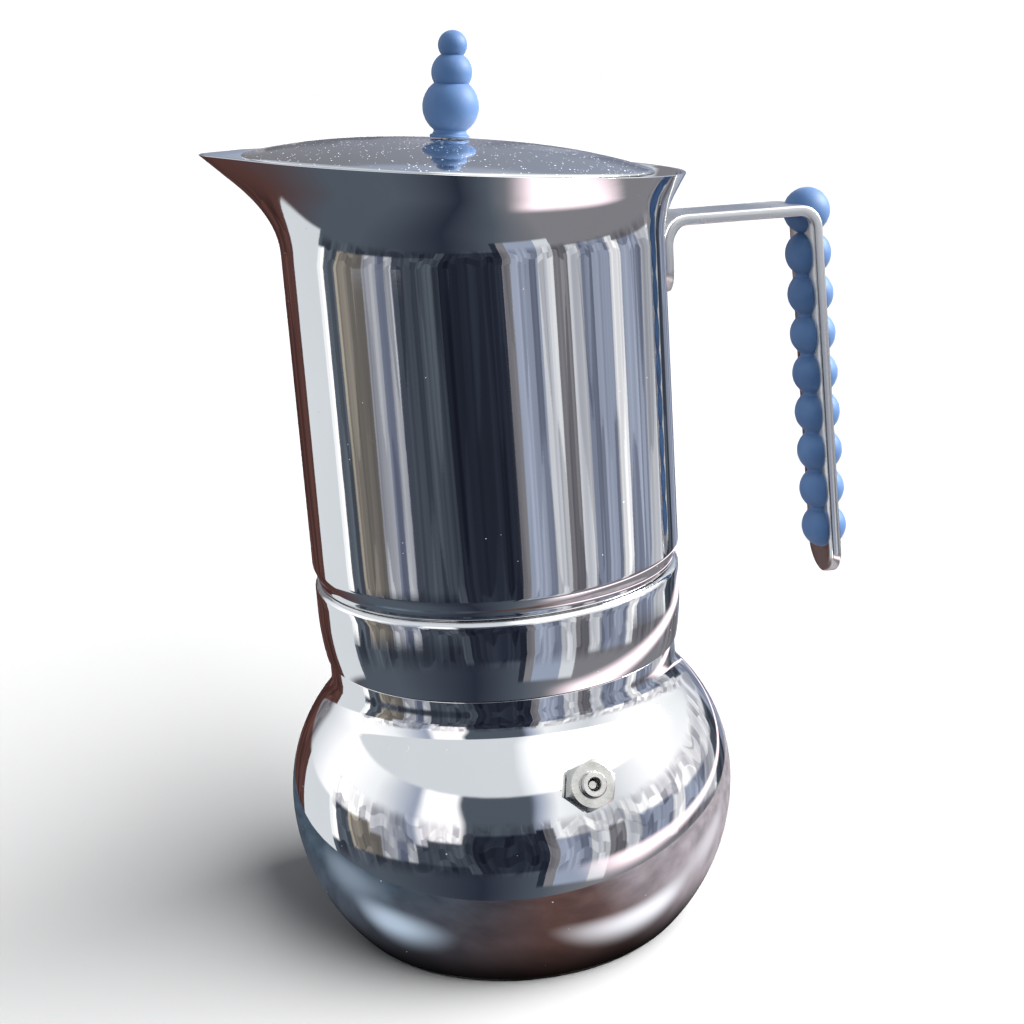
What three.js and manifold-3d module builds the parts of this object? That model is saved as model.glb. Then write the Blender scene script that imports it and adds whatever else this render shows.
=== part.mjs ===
// Stovetop espresso maker in stainless steel, with blue beaded grips.
// Millimetres, +Z up. The boiler rests on z = 0, the handle points to +X and
// the spout to -X. Every piece is its own closed mesh, a little clear of the next.
import * as THREE from 'three';
import { mergeVertices } from 'three/addons/utils/BufferGeometryUtils.js';
import Module from 'manifold-3d';

const wasm = await Module();
wasm.setup();

// ---- Driving dimensions -------------------------------------------------

const base = { radius: 42.2, height: 1.2, edge: 0.6 };

const boiler = {
  floor: 1.5,            // underside of the belly, above the base disc
  wall: 1.2,
  waist: 36,             // height of the widest ring
  lowerArc: { centre: 5.25, radius: 51.7, from: -41.9 },
  upperArc: { centre: 16.55, radius: 40.4, to: 42.1 },
  neck: 44.0,
  neckTop: 74.2,         // shoulder that the collar comes down to
  bore: 40.6,
  rim: 88.0,
};

const thread = {
  pitch: 3.0, turns: 2.0, start: 77.8, perTurn: 32,
  male: { root: 41.9, crest: 42.55 },
  female: { root: 43.3, crest: 42.65 },
};

const collar = { bottom: 74.6, top: 94.2 };

const funnel = { cup: 33.0, wall: 0.8, flange: 41.5, flangeZ: 88.3, ledge: 63.0 };
const tube = { radius: 5.0, wall: 0.7, bottom: 7.0, top: 51.0 };
const seal = { inner: 31.5, outer: 41.3, bottom: 89.2, top: 92.1 };

const jug = {
  wall: 1.0, radius: 46.0,
  floor: 92.4, seam: 43.3, groove: 44.8, grooveTop: 96.0, shoulder: 98.9,
  riserHole: 7.0,
  flareStart: 175.0, flareSlip: 1.0,      // the flare starts higher on the spout side
  rimHeight: 194.4, rimSlope: -0.1109,    // the rim plane rises towards the spout
  mouth: { x: -3.0, radius: 54.5 },
  nose: { x: -54.0, radius: 9.0 },
  flareBend: 0.72,                        // share of the flare's height that is curved
};

const riser = { base: 9.0, waist: 6.0, top: 5.0, wall: 0.8, bottom: 93.7, height: 165.0 };

const lid = {
  x: -4.4, radius: 48.8, dome: 5.15, power: 2.6, wall: 0.8,
  skirt: 45.4, skirtDepth: 7.9, pourGap: 24, hole: 2.1,
};

const knob = {
  foot: 5.45, neck: 3.9,
  balls: [
    { height: 12.6, radius: 6.67 },
    { height: 20.4, radius: 4.8 },
    { height: 26.6, radius: 3.42 },
  ],
};

const strap = {
  width: 15.0, thickness: 2.7, bend: 4.6,
  foot: 158.2, barStart: 176.35, barEnd: 175.7, free: 79.0,
};
const grip = {
  beads: 8, radius: 5.825, neck: 3.5,
  top: { x: 87.18, z: 164.0 }, bottom: { x: 90.06, z: 91.6 },
  corner: { x: 87.0, z: 174.8, radius: 5.875 },
  split: 1.6,            // half the gap between the two halves of the grip
  pin: 1.5,
};

const valve = {
  azimuth: -84.5, height: 54.0,
  acrossFlats: 10.8, hexFrom: 0.8, hexTo: 4.2, hexTurn: 13.3,
  boss: 3.1, bossTo: 5.5, hole: 1.55, shank: 3.9, chamber: 2.7,
};

// ---- Small helpers ------------------------------------------------------

const rad = THREE.MathUtils.degToRad;

// Points on an arc, angles in degrees from +r towards +z.
function arc(centreR, centreZ, radius, from, to, steps) {
  const points = [];
  for (let i = 0; i <= steps; i += 1) {
    const angle = rad(from + ((to - from) * i) / steps);
    points.push([centreR + radius * Math.cos(angle), centreZ + radius * Math.sin(angle)]);
  }
  return points;
}

// Merge seams, drop slivers and turn every face outwards.
function tidy(geometry) {
  geometry.deleteAttribute('normal');
  geometry.deleteAttribute('uv');
  const merged = mergeVertices(geometry, 1e-4);
  const position = merged.attributes.position;
  const index = [];
  const at = (i) => new THREE.Vector3().fromBufferAttribute(position, i);
  let volume = 0;
  for (let i = 0; i < merged.index.count; i += 3) {
    const [a, b, c] = [0, 1, 2].map((k) => merged.index.getX(i + k));
    if (a === b || b === c || c === a) continue;
    index.push(a, b, c);
    volume += at(a).dot(at(b).cross(at(c)));
  }
  if (volume < 0) index.reverse();
  merged.setIndex(index);
  merged.computeVertexNormals();
  return merged;
}

// Revolve an outline of [radius, z] pairs around Z.
function turned(outline, segments = 48) {
  const points = outline.map(([r, z]) => new THREE.Vector2(Math.max(r, 0), z));
  const first = points[0];
  const last = points[points.length - 1];
  const onAxis = first.x < 1e-6 && last.x < 1e-6;
  if (!onAxis) points.push(first.clone());
  const geometry = new THREE.LatheGeometry(points, segments);
  geometry.rotateX(Math.PI / 2);
  return tidy(geometry);
}

function box(x0, x1, y0, y1, z0, z1) {
  const geometry = new THREE.BoxGeometry(x1 - x0, y1 - y0, z1 - z0);
  geometry.translate((x0 + x1) / 2, (y0 + y1) / 2, (z0 + z1) / 2);
  return tidy(geometry);
}

function rod(radius, z0, z1, segments = 24) {
  return turned([[0, z0], [radius, z0], [radius, z1], [0, z1]], segments);
}

// Join rings of points (all the same length) into one closed skin.
function skin(rings, closedAlong) {
  const across = rings[0].length;
  const vertices = rings.flat().flatMap((p) => [p.x, p.y, p.z]);
  const index = [];
  const last = closedAlong ? rings.length : rings.length - 1;
  for (let i = 0; i < last; i += 1) {
    for (let j = 0; j < across; j += 1) {
      const a = i * across + j;
      const b = i * across + ((j + 1) % across);
      const c = ((i + 1) % rings.length) * across + ((j + 1) % across);
      const d = ((i + 1) % rings.length) * across + j;
      index.push(a, b, c, a, c, d);
    }
  }
  if (!closedAlong) {
    const end = (rings.length - 1) * across;
    for (let j = 1; j < across - 1; j += 1) {
      index.push(0, j + 1, j);
      index.push(end, end + j, end + j + 1);
    }
  }
  const geometry = new THREE.BufferGeometry();
  geometry.setAttribute('position', new THREE.Float32BufferAttribute(vertices, 3));
  geometry.setIndex(index);
  return tidy(geometry);
}

function solid(geometry) {
  return new wasm.Manifold(new wasm.Mesh({
    numProp: 3,
    vertProperties: new Float32Array(geometry.attributes.position.array),
    triVerts: new Uint32Array(geometry.index.array),
  }));
}

function geometryOf(manifold) {
  const mesh = manifold.getMesh();
  const geometry = new THREE.BufferGeometry();
  geometry.setAttribute('position', new THREE.Float32BufferAttribute(mesh.vertProperties, 3));
  geometry.setIndex(Array.from(mesh.triVerts));
  return tidy(geometry);
}

function cut(geometry, tools) {
  let result = solid(geometry);
  for (const tool of tools) result = result.subtract(solid(tool));
  return geometryOf(result);
}

// Centres of a round pattern of holes: one in the middle and rings of six, twelve...
function holePattern(rings, spacing) {
  const centres = [[0, 0]];
  for (let ring = 1; ring <= rings; ring += 1) {
    for (let i = 0; i < 6 * ring; i += 1) {
      const angle = (i / (6 * ring)) * 2 * Math.PI;
      centres.push([ring * spacing * Math.cos(angle), ring * spacing * Math.sin(angle)]);
    }
  }
  return centres;
}

function perforated(outline, rings, spacing, hole, z0, z1) {
  const drills = holePattern(rings, spacing).map(([x, y]) => {
    const drill = rod(hole, z0, z1, 6);
    drill.translate(x, y, 0);
    return drill;
  });
  return cut(turned(outline), drills);
}

// A helical ridge of trapezoid section between the two radii.
function ridge(root, crest, phase) {
  const { perTurn } = thread;
  const steps = Math.round(thread.turns * perTurn);
  const rings = [];
  for (let i = 0; i <= steps; i += 1) {
    const turn = i / perTurn;
    const angle = 2 * Math.PI * turn + phase;
    const middle = thread.start + thread.pitch * turn;
    const fade = Math.min(1, Math.min(i, steps - i) / 4);
    const tip = root + (crest - root) * fade;
    const section = [[root, -0.8], [tip, -0.4], [tip, 0.4], [root, 0.8]];
    const bury = Math.sign(root - crest) * 0.2;
    rings.push([[root + bury, -0.8], ...section, [root + bury, 0.8]].map(
      ([r, z]) => new THREE.Vector3(r * Math.cos(angle), r * Math.sin(angle), middle + z)));
  }
  return skin(rings, false);
}

// ---- Boiler -------------------------------------------------------------

function baseDisc() {
  const { radius, height, edge } = base;
  return turned([
    [0, 0], [radius - edge, 0], ...arc(radius - edge, edge, edge, -60, 60, 4),
    [radius - edge, height], [0, height],
  ], 40);
}

function boilerShell() {
  const { waist, wall, lowerArc: low, upperArc: high } = boiler;
  const outline = [
    [0, boiler.floor],
    ...arc(low.centre, waist, low.radius, low.from, 0, 5),
    ...arc(high.centre, waist, high.radius, 0, high.to, 6).slice(1),
    [44.7, 65.0], [boiler.neck, 68.5], [boiler.neck, boiler.neckTop],
    [thread.male.root, boiler.neckTop], [thread.male.root, boiler.rim - 0.5],
    [thread.male.root - 0.5, boiler.rim], [boiler.bore, boiler.rim],
    [boiler.bore, 73.6], [42.8, 70.5], [42.8, 68.0], [43.4, 65.4],
    ...arc(high.centre, waist, high.radius - wall, high.to, 0, 4),
    ...arc(low.centre, waist, low.radius - wall, 0, low.from + 1.1, 4).slice(1),
    [0, boiler.floor + wall],
  ];
  const shell = solid(turned(outline, 48)).add(
    solid(ridge(thread.male.root, thread.male.crest, 0)));
  const port = rod(valve.shank + 0.3, -4, 3, 16);
  port.applyMatrix4(valveFrame());
  return geometryOf(shell.subtract(solid(port)));
}

// ---- Safety valve, on its own axis square to the belly -----------------

function valveFrame() {
  const { centre, radius } = boiler.upperArc;
  const lift = Math.asin((valve.height - boiler.waist) / radius);
  const reach = centre + radius * Math.cos(lift);
  const around = new THREE.Matrix4().makeRotationZ(rad(valve.azimuth));
  const tilt = new THREE.Matrix4().makeRotationY(Math.PI / 2 - lift);
  const place = new THREE.Matrix4().makeTranslation(reach, 0, valve.height);
  return around.multiply(place).multiply(tilt);
}

function onValve(geometry) {
  geometry.applyMatrix4(valveFrame());
  return geometry;
}

function valveBody() {
  const apothem = valve.acrossFlats / 2;
  const corner = apothem / Math.cos(Math.PI / 6);
  const hex = new THREE.CylinderGeometry(corner, corner, valve.hexTo - valve.hexFrom, 6);
  hex.rotateX(Math.PI / 2);
  hex.rotateZ(rad(valve.hexTurn));
  hex.translate(0, 0, (valve.hexFrom + valve.hexTo) / 2);
  const chamfer = turned([
    [0, valve.hexFrom], [corner, valve.hexFrom], [corner, valve.hexTo - 0.55],
    [apothem - 0.1, valve.hexTo], [0, valve.hexTo],
  ], 36);
  const stem = turned([
    [0, -6], [valve.shank, -6], [valve.shank, valve.hexTo - 1], [valve.boss, valve.hexTo - 1],
    [valve.boss, valve.bossTo - 0.3], [valve.boss - 0.3, valve.bossTo], [0, valve.bossTo],
  ], 24);
  const hollow = turned([
    [0, -7], [valve.chamber, -7], [valve.chamber, 3.2], [valve.hole, 3.6],
    [valve.hole, 6], [0, 6],
  ], 24);
  const body = solid(tidy(hex)).intersect(solid(chamfer)).add(solid(stem));
  return onValve(geometryOf(body.subtract(solid(hollow))));
}

function valveSeal() {
  return onValve(turned([[4.2, 0.1], [5.0, 0.1], [5.0, 0.6], [4.2, 0.6]], 24));
}

function valveNut() {
  const hex = new THREE.CylinderGeometry(6.6, 6.6, 2.4, 6);
  hex.rotateX(Math.PI / 2);
  hex.translate(0, 0, -3.5);
  return onValve(cut(tidy(hex), [rod(valve.shank + 0.15, -6, 0)]));
}

function valveSeat() {
  const plug = valve.chamber - 0.05;
  return onValve(turned([
    [1.1, -6], [plug, -6], [plug, -4.9], [1.6, -4.9], [1.1, -5.4],
  ], 24));
}

function valvePoppet() {
  return onValve(turned([
    [0, -5.2], [0.8, -5.2], [1.3, -4.7], [2.4, -4.7], [2.4, -3.9],
    [0.9, -3.9], [0.9, 3.9], [0, 3.9],
  ], 24));
}

function valveSpring() {
  const turns = 4;
  const perTurn = 10;
  const points = [];
  for (let i = 0; i <= turns * perTurn; i += 1) {
    const angle = (i / perTurn) * 2 * Math.PI;
    const height = -2.4 + (4.9 * i) / (turns * perTurn);
    points.push(new THREE.Vector3(1.85 * Math.cos(angle), 1.85 * Math.sin(angle), height));
  }
  const wire = new THREE.Shape();
  wire.absarc(0, 0, 0.28, 0, 2 * Math.PI, false);
  const coil = new THREE.ExtrudeGeometry(wire, {
    steps: turns * perTurn,
    curveSegments: 3,
    bevelEnabled: false,
    extrudePath: new THREE.CatmullRomCurve3(points),
  });
  return onValve(tidy(coil));
}

// ---- Funnel and filter --------------------------------------------------

function funnelBasket() {
  const { cup, wall, flange, flangeZ, ledge } = funnel;
  const neck = tube.radius + 0.15;
  return turned([
    [neck, 48.0], [neck + wall, 48.0], [neck + wall, 51.6],
    [29.6, ledge - 0.9], [cup - 1, ledge - 0.9], [cup, ledge + 0.2],
    [cup, flangeZ - 0.6], [cup + 0.6, flangeZ], [flange, flangeZ],
    [flange, flangeZ + 0.6], [cup - wall, flangeZ + 0.6], [cup - wall, ledge],
    [29.2, ledge], [neck, 52.4],
  ], 40);
}

function basketSieve() {
  const radius = funnel.cup - funnel.wall - 0.3;
  const z = funnel.ledge + 0.3;
  return perforated([[0, z], [radius, z], [radius, z + 0.8], [0, z + 0.8]], 3, 7.5, 1.5, 60, 70);
}

function funnelTube() {
  const { radius, wall, bottom, top } = tube;
  return turned([
    [radius - wall, bottom], [radius, bottom], [radius, top], [radius - wall, top],
  ], 24);
}

function filterPlate() {
  const radius = seal.inner - 0.3;
  return perforated([
    [0, 89.9], [radius - 2, 89.9], [radius - 1.4, 89.4], [radius, 89.4],
    [radius, 90.2], [radius - 1.1, 90.2], [radius - 1.7, 90.7], [0, 90.7],
  ], 3, 7.5, 1.3, 85, 95);
}

function gasket() {
  const { inner, outer, bottom, top } = seal;
  return turned([
    [inner, bottom + 0.4], [inner + 0.4, bottom], [outer - 0.4, bottom], [outer, bottom + 0.4],
    [outer, top - 0.4], [outer - 0.4, top], [inner + 0.4, top], [inner, top - 0.4],
  ], 36);
}

// ---- Jug ----------------------------------------------------------------

function threadedCollar() {
  const { bottom, top } = collar;
  const { root, crest } = thread.female;
  const sleeve = turned([
    [44.6, bottom], [45.0, 78.0], [45.6, 82.0], [45.8, 86.0],
    ...arc(44.2, 92.6, 1.6, 0, 90, 3),
    [jug.seam + 0.3, top], [jug.seam + 0.3, 91.8], [root, 91.5],
    [root, bottom + 0.8], [root + 0.6, bottom],
  ], 48);
  const clear = crest / Math.cos(Math.PI / thread.perTurn);   // so that flats stay outside it
  return geometryOf(solid(sleeve).add(solid(ridge(root, clear, Math.PI))));
}

// Distance from the jug's axis to the rim, seen from above, in one direction.
function rimReach(angle) {
  const { mouth, nose } = jug;
  const ray = new THREE.Vector2(Math.cos(angle), Math.abs(Math.sin(angle)));
  const normalX = (mouth.radius - nose.radius) / (nose.x - mouth.x);
  const normal = new THREE.Vector2(normalX, Math.sqrt(1 - normalX * normalX));
  const toCircle = ({ x, radius }) => {
    const along = ray.x * x;
    return along + Math.sqrt(along * along - x * x + radius * radius);
  };
  const onNose = Math.atan2(nose.radius * normal.y, nose.x + nose.radius * normal.x);
  const onMouth = Math.atan2(mouth.radius * normal.y, mouth.x + mouth.radius * normal.x);
  const here = Math.atan2(ray.y, ray.x);
  if (here > onNose) return toCircle(nose);
  if (here < onMouth) return toCircle(mouth);
  const edge = normal.x * mouth.x + mouth.radius;
  return edge / normal.dot(ray);
}

// How far the flare has opened at a share of its height.
function flareOpening(share) {
  const bend = jug.flareBend;
  const slope = 1 / (1 - bend / 2);
  if (share < bend) return (slope * share * share) / (2 * bend);
  return (slope * bend) / 2 + slope * (share - bend);
}

// One skin from the riser hole, out over the floor, up the wall and back inside.
function jugShell() {
  const { wall, radius, floor, seam, groove, grooveTop, shoulder, riserHole } = jug;
  const columns = 60;
  const flareSteps = 5;
  const lower = [
    [riserHole, floor], [seam, floor], [seam, floor + 2.1], [groove, floor + 2.1],
    [groove, grooveTop], [45.3, 97.3], [radius, shoulder],
  ];
  const upper = [
    [radius - wall, shoulder + 0.2], [44.4, 97.6], [groove - wall, grooveTop + 0.4],
    [groove - wall, floor + 2.0], [seam - wall, floor + wall], [riserHole, floor + wall],
  ];
  const rings = [];
  for (let i = 0; i < columns; i += 1) {
    const turn = -Math.PI + (2 * Math.PI * i) / columns;
    const angle = Math.PI + turn - 0.55 * Math.sin(turn);   // closer together at the spout
    const along = new THREE.Vector3(Math.cos(angle), Math.sin(angle), 0);
    const at = ([r, z]) => new THREE.Vector3(r * along.x, r * along.y, z);
    const reach = rimReach(Math.atan2(along.y, along.x));
    const rimZ = jug.rimHeight + jug.rimSlope * reach * along.x;
    const startZ = jug.flareStart - jug.flareSlip * along.x;
    const flare = (inset) => {
      const points = [];
      for (let k = 0; k <= flareSteps; k += 1) {
        const share = k / flareSteps;
        const opening = flareOpening(share);
        const out = radius - inset + (reach - radius) * opening;
        points.push([out, startZ + (rimZ - startZ) * share]);
      }
      return points;
    };
    const profile = [...lower, ...flare(0), ...flare(wall).reverse(), ...upper];
    rings.push(profile.map(at));
  }
  return skin(rings, true);
}

function riserColumn() {
  const { base: foot, waist, top, wall, bottom, height } = riser;
  return turned([
    [foot, bottom], [foot + 2, bottom], [foot + 2, bottom + 1], [foot + 0.2, bottom + 1.4],
    [waist, 112], [top, height], [top - wall, height], [waist - wall, 112],
    [foot - 1.2, bottom + 1.4],
  ], 24);
}

function riserCap() {
  const inner = riser.top + 0.45;
  const outer = inner + 0.8;
  const cap = turned([
    [inner, 160], [outer, 160], [outer, 169.5], [outer - 1.2, 171.4], [outer - 3.4, 172.4],
    [0, 172.6], [0, 171.7], [inner - 2.6, 171.5], [inner - 0.6, 170.6], [inner, 169.2],
  ], 24);
  const slot = box(-2, 2, -9, 9, 166.2, 169.0);
  const cross = slot.clone().rotateZ(Math.PI / 2);
  return cut(cap, [slot, cross]);
}

// ---- Handle -------------------------------------------------------------

// Height of the grip's middle line is a straight lean outwards towards the table.
function gripX(z) {
  const { top, bottom } = grip;
  return top.x + ((bottom.x - top.x) * (top.z - z)) / (top.z - bottom.z);
}

// Stations along the strap, from its foot on the jug to its free end. Each has its
// middle point, how far the strap has turned over, its half width and its dish.
function strapStations() {
  const half = strap.width / 2;
  const rootX = jug.radius + 0.3 + strap.thickness / 2;
  const roundEnd = [0.12, 0.5, 1.2, 2.4, 4.2, half];
  const stations = [];
  const add = (x, z, turn, width, dish) => stations.push({ x, z, turn: rad(turn), width, dish });
  const endWidth = (step) => Math.sqrt(half * half - (half - step) ** 2);
  const bend = (centreX, centreZ, from, to) => {
    for (let i = 0; i <= 6; i += 1) {
      const turn = from + ((to - from) * i) / 6;
      const x = centreX - strap.bend * Math.cos(rad(turn));
      add(x, centreZ + strap.bend * Math.sin(rad(turn)), turn, half, Math.max(0, 0.6 - turn / 40));
    }
  };
  for (const step of roundEnd) add(rootX, strap.foot + step, 0, endWidth(step), 1);
  add(rootX, strap.barStart - strap.bend - 1, 0, half, 1);
  bend(rootX + strap.bend, strap.barStart - strap.bend, 0, 91.3);
  bend(gripX(strap.barEnd) - strap.bend, strap.barEnd - strap.bend, 91.3, 182.3);
  for (const step of roundEnd.slice().reverse()) {
    const z = strap.free + step;
    add(gripX(z), z, 182.3, endWidth(step), 0);
  }
  return stations;
}

function strapSkin() {
  const half = strap.thickness / 2;
  const edge = 0.5;
  const rings = strapStations().map(({ x, z, turn, width, dish }) => {
    const section = [
      [-half, -width + edge], [-half, 0], [-half, width - edge], [-half + edge, width],
      [half - edge, width], [half, width - edge], [half, 0], [half, -width + edge],
      [half - edge, -width], [-half + edge, -width],
    ];
    return section.map(([through, y]) => {
      const sag = dish * (jug.radius - Math.sqrt(jug.radius ** 2 - y * y));
      return new THREE.Vector3(
        x + through * Math.cos(turn) - sag, y, z - through * Math.sin(turn));
    });
  });
  return skin(rings, false);
}

// Moves the Z axis onto the grip's middle line, with z kept as height at the top bead.
function gripFrame() {
  const { top, bottom } = grip;
  const lean = Math.atan2(bottom.x - top.x, top.z - bottom.z);
  return new THREE.Matrix4().makeTranslation(top.x, 0, top.z)
    .multiply(new THREE.Matrix4().makeRotationY(-lean));
}

function pinTools(radius, reach) {
  const pitch = beadPitch();
  return [1.5, 6.5].map((place) => {
    const tool = rod(radius, -reach, reach, 16);
    tool.rotateY(Math.PI / 2);
    tool.translate(0, 0, -pitch * Math.round(place));
    tool.applyMatrix4(gripFrame());
    return tool;
  });
}

function beadPitch() {
  const { top, bottom, beads } = grip;
  return Math.hypot(bottom.x - top.x, top.z - bottom.z) / (beads - 1);
}

function handleStrap() {
  return cut(strapSkin(), pinTools(grip.pin + 0.2, 3));
}

// A string of beads turned about the grip's middle line, split by the strap.
function beadString() {
  const pitch = beadPitch();
  const { radius, neck, beads } = grip;
  const open = THREE.MathUtils.radToDeg(Math.acos(neck / radius));
  const outline = [[0, -pitch * (beads - 1) - radius]];
  for (let i = beads - 1; i >= 0; i -= 1) {
    const from = i === beads - 1 ? -78 : -open;
    const to = i === 0 ? 78 : open;
    outline.push(...arc(0, -pitch * i, radius, from, to, 4));
  }
  outline.push([0, radius]);
  const string = turned(outline, 16);
  string.applyMatrix4(gripFrame());
  return string;
}

function gripHalf(side) {
  const reach = 12;
  const half = side > 0
    ? box(grip.split, reach, -reach, reach, -90, 20)
    : box(-reach, -grip.split, -reach, reach, -90, 20);
  half.applyMatrix4(gripFrame());
  let result = solid(beadString()).intersect(solid(half));
  for (const tool of pinTools(grip.pin + 0.2, 4.4)) result = result.subtract(solid(tool));
  return geometryOf(result.subtract(solid(cornerBall(0.3))));
}

function gripPin(which) {
  return pinTools(grip.pin, 4.2)[which];
}

function cornerBall(extra = 0) {
  const { x, z, radius } = grip.corner;
  const ball = new THREE.SphereGeometry(radius + extra, 16, 12);
  ball.rotateX(Math.PI / 2);
  ball.translate(x, 0, z);
  return tidy(ball);
}

// The ball over the strap's corner, in two halves either side of the strap,
// the smaller one in the crook of the bend.
function gripCornerBall() {
  const clear = 0.2;
  const rings = strapStations().filter(({ x, z }) => x > 60 && z > 150).map(
    ({ x, z, turn, width }) => {
      const half = strap.thickness / 2 + clear;
      const wide = width + clear;
      return [[-half, -wide], [-half, wide], [half, wide], [half, -wide]].map(([through, y]) =>
        new THREE.Vector3(x + through * Math.cos(turn), y, z - through * Math.sin(turn)));
    });
  const first = rings[0].map((p) => p.clone().add(new THREE.Vector3(-30, 0, 0.8)));
  const last = rings[rings.length - 1].map((p) => p.clone().add(new THREE.Vector3(0.8, 0, -20)));
  const channel = skin([first, ...rings, last], false);
  const halves = solid(cornerBall()).subtract(solid(channel)).decompose();
  return halves.sort((a, b) => a.volume() - b.volume()).map(geometryOf);
}

// ---- Lid, on an axis square to the rim plane ----------------------------

function lidFrame() {
  const tilt = Math.atan(-jug.rimSlope);
  const place = new THREE.Matrix4().makeTranslation(lid.x, 0, jug.rimHeight + jug.rimSlope * lid.x);
  return place.multiply(new THREE.Matrix4().makeRotationY(tilt));
}

function onLid(geometry) {
  geometry.applyMatrix4(lidFrame());
  return geometry;
}

function domeHeight(r) {
  return lid.dome * (1 - (r / lid.radius) ** lid.power);
}

function lidShell() {
  const radii = [lid.hole, 16, 27, 36, 43, lid.radius];
  const top = radii.map((r) => [r, domeHeight(r)]);
  const under = radii.slice(0, -1).map((r) => [r, domeHeight(r) - lid.wall]).reverse();
  return onLid(turned([...top, [lid.radius, -0.7], [lid.radius - 0.8, -0.9], ...under], 48));
}

function lidSkirt() {
  const half = lid.pourGap;
  const shape = new THREE.Shape();
  shape.absarc(0, 0, lid.skirt, rad(180 + half), rad(540 - half), false);
  shape.absarc(0, 0, lid.skirt - 0.8, rad(540 - half), rad(180 + half), true);
  const skirt = new THREE.ExtrudeGeometry(shape, {
    depth: lid.skirtDepth - 0.5, curveSegments: 36, bevelEnabled: false,
  });
  skirt.translate(0, 0, -lid.skirtDepth);
  return onLid(tidy(skirt));
}

function lidKnob() {
  const outline = [[0, 14.0], [2.0, 13.4], [2.0, knob.foot], [5.0, knob.foot], [5.0, 5.9],
    [knob.neck, 6.5]];
  const balls = knob.balls;
  const turnAngle = (r, height) => THREE.MathUtils.radToDeg(Math.atan2(height, r));
  let from = turnAngle(knob.neck, -Math.sqrt(balls[0].radius ** 2 - knob.neck ** 2));
  balls.forEach((ball, i) => {
    let to = 90;
    let nextFrom = 0;
    if (i + 1 < balls.length) {
      const next = balls[i + 1];
      const gap = next.height - ball.height;
      const meet = (gap * gap + ball.radius ** 2 - next.radius ** 2) / (2 * gap);
      const r = Math.sqrt(ball.radius ** 2 - meet * meet);
      to = turnAngle(r, meet);
      nextFrom = turnAngle(r, meet - gap);
    }
    const points = arc(0, ball.height, ball.radius, from, to, 6);
    outline.push(...(i === 0 ? points : points.slice(1)));
    from = nextFrom;
  });
  outline[outline.length - 1][0] = 0;
  return onLid(turned(outline, 24));
}

function knobScrew() {
  return onLid(turned([
    [0, 1.4], [2.6, 1.5], [4.0, 2.3], [4.2, 3.1], [1.7, 3.1], [1.7, 12.8], [0, 12.8],
  ], 24));
}

function knobWasher() {
  return onLid(turned([[2.1, 3.4], [5.5, 3.4], [5.5, 4.1], [2.1, 4.1]], 24));
}

// ---- Assembly -----------------------------------------------------------

const polished = { color: 0xc9cbcc, roughness: 0.1, metalness: 1.0 };
const satin = { color: 0xb9bbbc, roughness: 0.35, metalness: 1.0 };
const blue = { color: 0x3d6db0, roughness: 0.6, metalness: 0.0 };
const rubber = { color: 0xd8d6cf, roughness: 0.8, metalness: 0.0 };

const [cornerInner, cornerOuter] = gripCornerBall();
const pieces = [
  ['base_disc', satin, baseDisc()],
  ['boiler_shell', polished, boilerShell()],
  ['valve_body', satin, valveBody()],
  ['valve_seal', rubber, valveSeal()],
  ['valve_nut', satin, valveNut()],
  ['valve_seat', satin, valveSeat()],
  ['valve_poppet', satin, valvePoppet()],
  ['valve_spring', satin, valveSpring()],
  ['funnel_basket', satin, funnelBasket()],
  ['basket_sieve', satin, basketSieve()],
  ['funnel_tube', satin, funnelTube()],
  ['filter_plate', satin, filterPlate()],
  ['gasket', rubber, gasket()],
  ['threaded_collar', polished, threadedCollar()],
  ['jug_shell', polished, jugShell()],
  ['riser_column', satin, riserColumn()],
  ['riser_cap', satin, riserCap()],
  ['handle_strap', polished, handleStrap()],
  ['grip_outer', blue, gripHalf(1)],
  ['grip_inner', blue, gripHalf(-1)],
  ['grip_corner_outer', blue, cornerOuter],
  ['grip_corner_inner', blue, cornerInner],
  ['grip_pin_upper', satin, gripPin(0)],
  ['grip_pin_lower', satin, gripPin(1)],
  ['lid_shell', polished, lidShell()],
  ['lid_skirt', satin, lidSkirt()],
  ['knob', blue, lidKnob()],
  ['knob_screw', satin, knobScrew()],
  ['knob_washer', satin, knobWasher()],
];

const maker = new THREE.Group();
maker.name = 'stovetop_espresso_maker';
for (const [name, look, geometry] of pieces) {
  const mesh = new THREE.Mesh(geometry, new THREE.MeshStandardMaterial(look));
  mesh.name = name;
  maker.add(mesh);
}

export default maker;
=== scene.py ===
"""Polished steel stovetop espresso maker with blue beaded grips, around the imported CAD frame."""
import math
import bmesh
import bpy
from mathutils import Matrix, Vector


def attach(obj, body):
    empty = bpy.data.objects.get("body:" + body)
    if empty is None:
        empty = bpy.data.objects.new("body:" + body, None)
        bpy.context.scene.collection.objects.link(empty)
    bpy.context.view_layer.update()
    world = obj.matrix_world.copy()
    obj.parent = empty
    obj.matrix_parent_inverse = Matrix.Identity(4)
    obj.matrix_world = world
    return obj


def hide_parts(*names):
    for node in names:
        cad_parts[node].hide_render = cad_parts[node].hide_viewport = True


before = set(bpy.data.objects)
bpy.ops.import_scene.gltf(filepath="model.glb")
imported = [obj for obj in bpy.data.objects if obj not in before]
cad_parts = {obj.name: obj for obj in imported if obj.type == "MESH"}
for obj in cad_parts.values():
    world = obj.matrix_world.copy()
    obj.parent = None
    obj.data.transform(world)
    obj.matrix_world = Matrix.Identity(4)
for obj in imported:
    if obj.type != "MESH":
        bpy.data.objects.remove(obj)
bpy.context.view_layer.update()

MM = 0.001

# ---- Driving dimensions, in millimetres, in the frame's own axes ---------

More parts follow.
